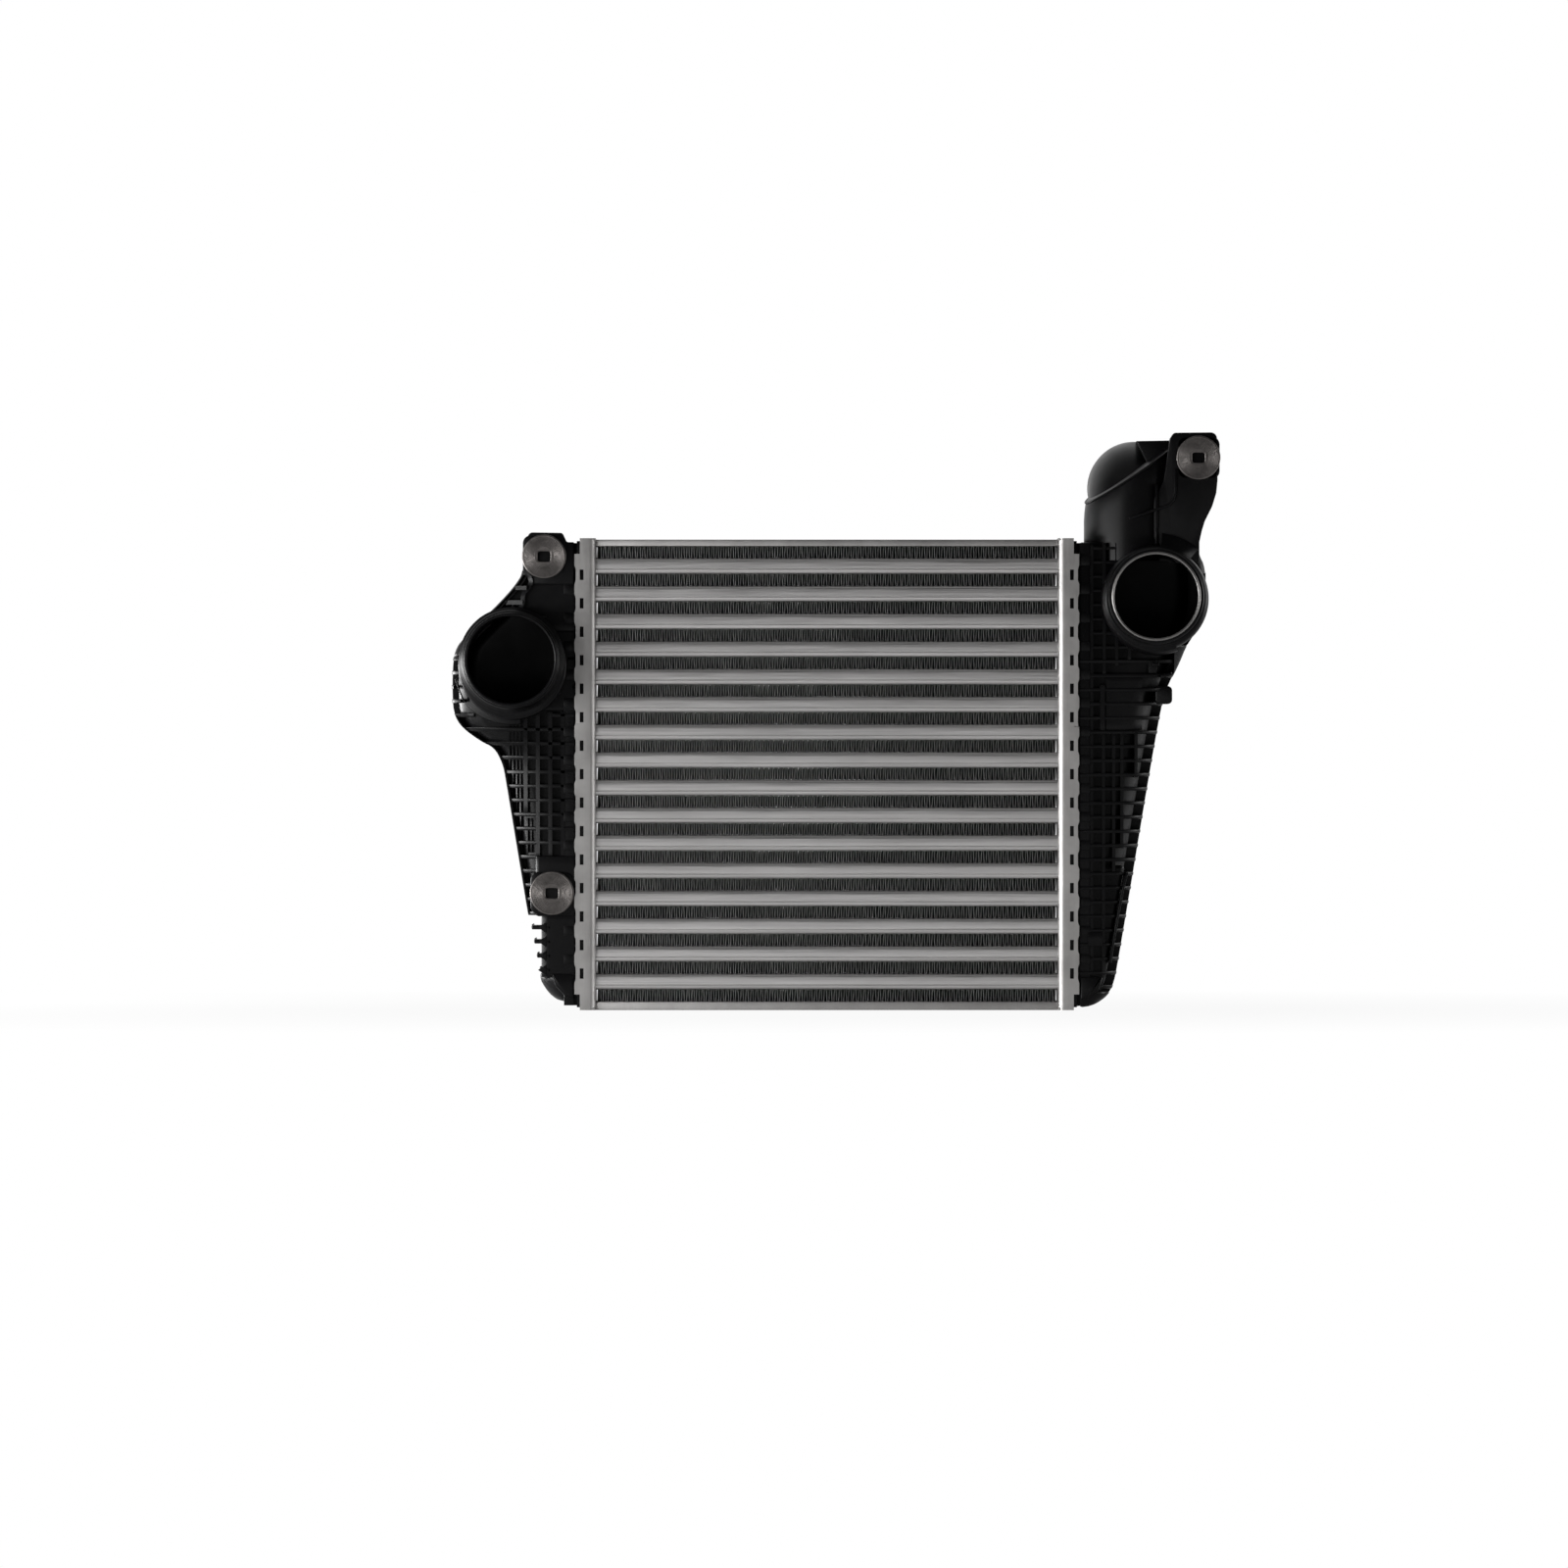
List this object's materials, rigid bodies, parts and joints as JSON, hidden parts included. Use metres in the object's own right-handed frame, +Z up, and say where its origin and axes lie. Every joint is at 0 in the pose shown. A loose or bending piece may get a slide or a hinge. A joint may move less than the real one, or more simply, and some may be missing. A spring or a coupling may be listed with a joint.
{
  "type": "intercooler",
  "caption": "Charge-air cooler: a flat tube-and-fin aluminium core crimped between two ribbed black plastic end tanks with round hose ports and mounting ears.",
  "frame": {"origin": "middle of the bottom face, on the rim of the bottom side plate", "axes": "+X across the core towards the tank with the tall upper duct, +Y from the front, where both ports open, to the back, +Z up"},
  "size_m": [0.4888, 0.124, 0.3673],
  "materials": {
    "tube": "satin, drawn lengthwise",
    "fin": "thin folded sheet, dull",
    "side_plate": "satin",
    "header": "satin, pressed and brazed",
    "seal": "matte",
    "tank": "black glass-filled nylon, semi-gloss",
    "ring": "bright turned",
    "bush": "dull grey, turned",
    "grommet": "matte"
  },
  "bodies": {
    "root": {"tube_01": "tube", "tube_02": "tube", "tube_03": "tube", "tube_04": "tube", "tube_05": "tube", "tube_06": "tube", "tube_07": "tube", "tube_08": "tube", "tube_09": "tube", "tube_10": "tube", "tube_11": "tube", "tube_12": "tube", "tube_13": "tube", "tube_14": "tube", "tube_15": "tube", "tube_16": "tube", "fin_01": "fin", "fin_02": "fin", "fin_03": "fin", "fin_04": "fin", "fin_05": "fin", "fin_06": "fin", "fin_07": "fin", "fin_08": "fin", "fin_09": "fin", "fin_10": "fin", "fin_11": "fin", "fin_12": "fin", "fin_13": "fin", "fin_14": "fin", "fin_15": "fin", "fin_16": "fin", "fin_17": "fin", "side_plate_bottom": "side_plate", "side_plate_top": "side_plate", "header_left": "header", "header_right": "header", "seal_left": "seal", "seal_right": "seal", "tank_left": "tank", "tank_right": "tank", "port_ring": "ring", "mount_bushes": "bush", "mount_grommets": "grommet"}
  },
  "joints": []
}
